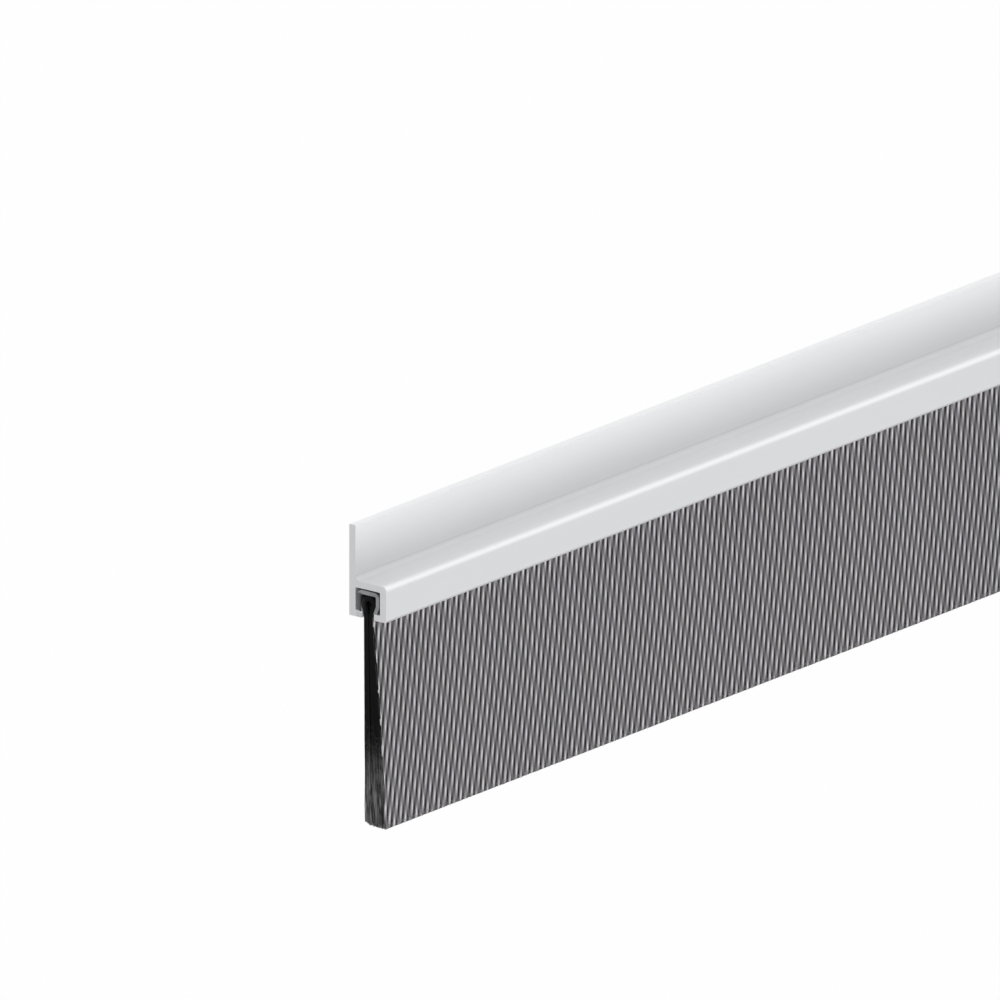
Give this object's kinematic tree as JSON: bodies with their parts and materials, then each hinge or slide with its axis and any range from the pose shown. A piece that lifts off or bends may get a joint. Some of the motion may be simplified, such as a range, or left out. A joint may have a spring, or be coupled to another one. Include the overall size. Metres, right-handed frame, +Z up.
{
  "type": "brush seal strip",
  "caption": "Door brush seal: an aluminium angle with a lipped channel that grips a strip of dense black bristles in a steel backing, hung below its flat fixing flange.",
  "frame": {"origin": "middle of the carrier's flat back face, half way along the strip and half way up the carrier", "axes": "+X along the strip, +Y out of the flat back towards the door, so the front looks towards -Y; +Z up, bristles pointing down to -Z"},
  "size_m": [1, 0.0108, 0.072],
  "materials": {
    "anodised_aluminium": "natural satin anodised extrusion, pale silver grey",
    "galvanised_sheet": "dull galvanised sheet steel",
    "steel_wire": "drawn steel wire",
    "nylon_bristle": "black nylon filaments with a soft sheen"
  },
  "bodies": {
    "root": {"carrier_profile": "anodised_aluminium", "backing_channel": "galvanised_sheet", "core_wire": "steel_wire", "bristles": "nylon_bristle"}
  },
  "joints": []
}
